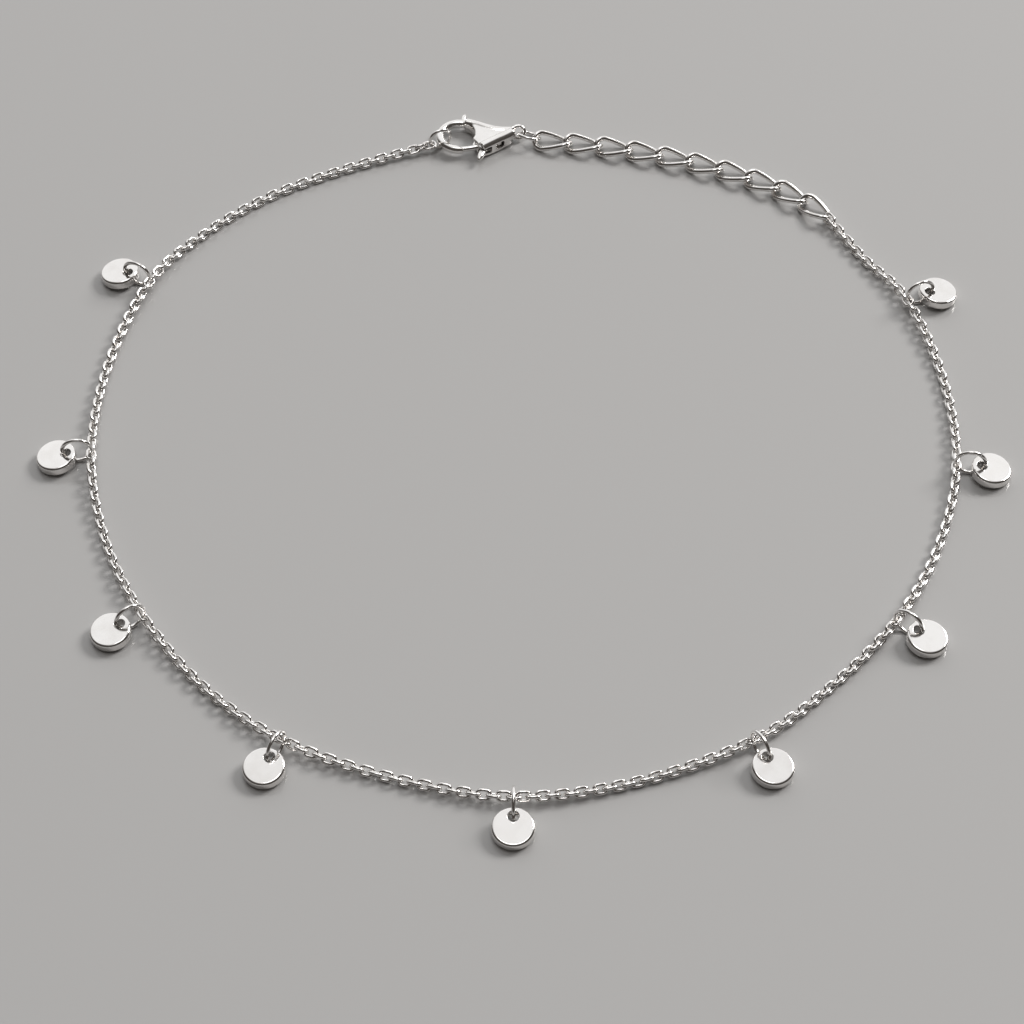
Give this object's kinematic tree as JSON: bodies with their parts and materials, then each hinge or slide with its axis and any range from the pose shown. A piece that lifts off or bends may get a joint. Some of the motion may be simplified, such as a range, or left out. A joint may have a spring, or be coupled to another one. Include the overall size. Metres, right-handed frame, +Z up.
{
  "type": "charm anklet",
  "caption": "Silver charm anklet lying as a closed loop: fine cable chain with plain round disc charms on jump rings, a curb extender chain and a lobster clasp with a sprung lever",
  "frame": {"origin": "middle of the loop's outline, on the surface that the anklet lies on", "axes": "+Z up from the surface, +Y from the front charm towards the clasp and extender, +X to the right seen from the front"},
  "size_m": [0.0938, 0.0932, 0.0032],
  "materials": {
    "chain_silver": "polished",
    "charm_silver": "polished",
    "ring_silver": "polished",
    "clasp_silver": "polished"
  },
  "bodies": {
    "anklet": {"fine_chain": "chain_silver", "charm_ring_1": "ring_silver", "charm_ring_2": "ring_silver", "charm_ring_3": "ring_silver", "charm_ring_4": "ring_silver", "charm_ring_5": "ring_silver", "charm_ring_6": "ring_silver", "charm_ring_7": "ring_silver", "charm_ring_8": "ring_silver", "charm_ring_9": "ring_silver", "charm_disc_1": "charm_silver", "charm_disc_2": "charm_silver", "charm_disc_3": "charm_silver", "charm_disc_4": "charm_silver", "charm_disc_5": "charm_silver", "charm_disc_6": "charm_silver", "charm_disc_7": "charm_silver", "charm_disc_8": "charm_silver", "charm_disc_9": "charm_silver", "extender_link_1": "chain_silver", "extender_link_2": "chain_silver", "extender_link_3": "chain_silver", "extender_link_4": "chain_silver", "extender_link_5": "chain_silver", "extender_link_6": "chain_silver", "extender_link_7": "chain_silver", "extender_link_8": "chain_silver", "extender_link_9": "chain_silver", "extender_link_10": "chain_silver", "tail_ring": "ring_silver", "chain_end_ring": "ring_silver", "clasp_body": "clasp_silver"},
    "lever": {"clasp_lever": "clasp_silver"}
  },
  "joints": [
    {"name": "lever_hinge", "type": "hinge", "parent": "anklet", "child": "lever", "pos_m": [-0.00261, 0.0427, 0.0009], "axis": [0, 0, -1], "range_deg": [0, 22], "stiffness_Nm_per_rad": 0.004}
  ]
}
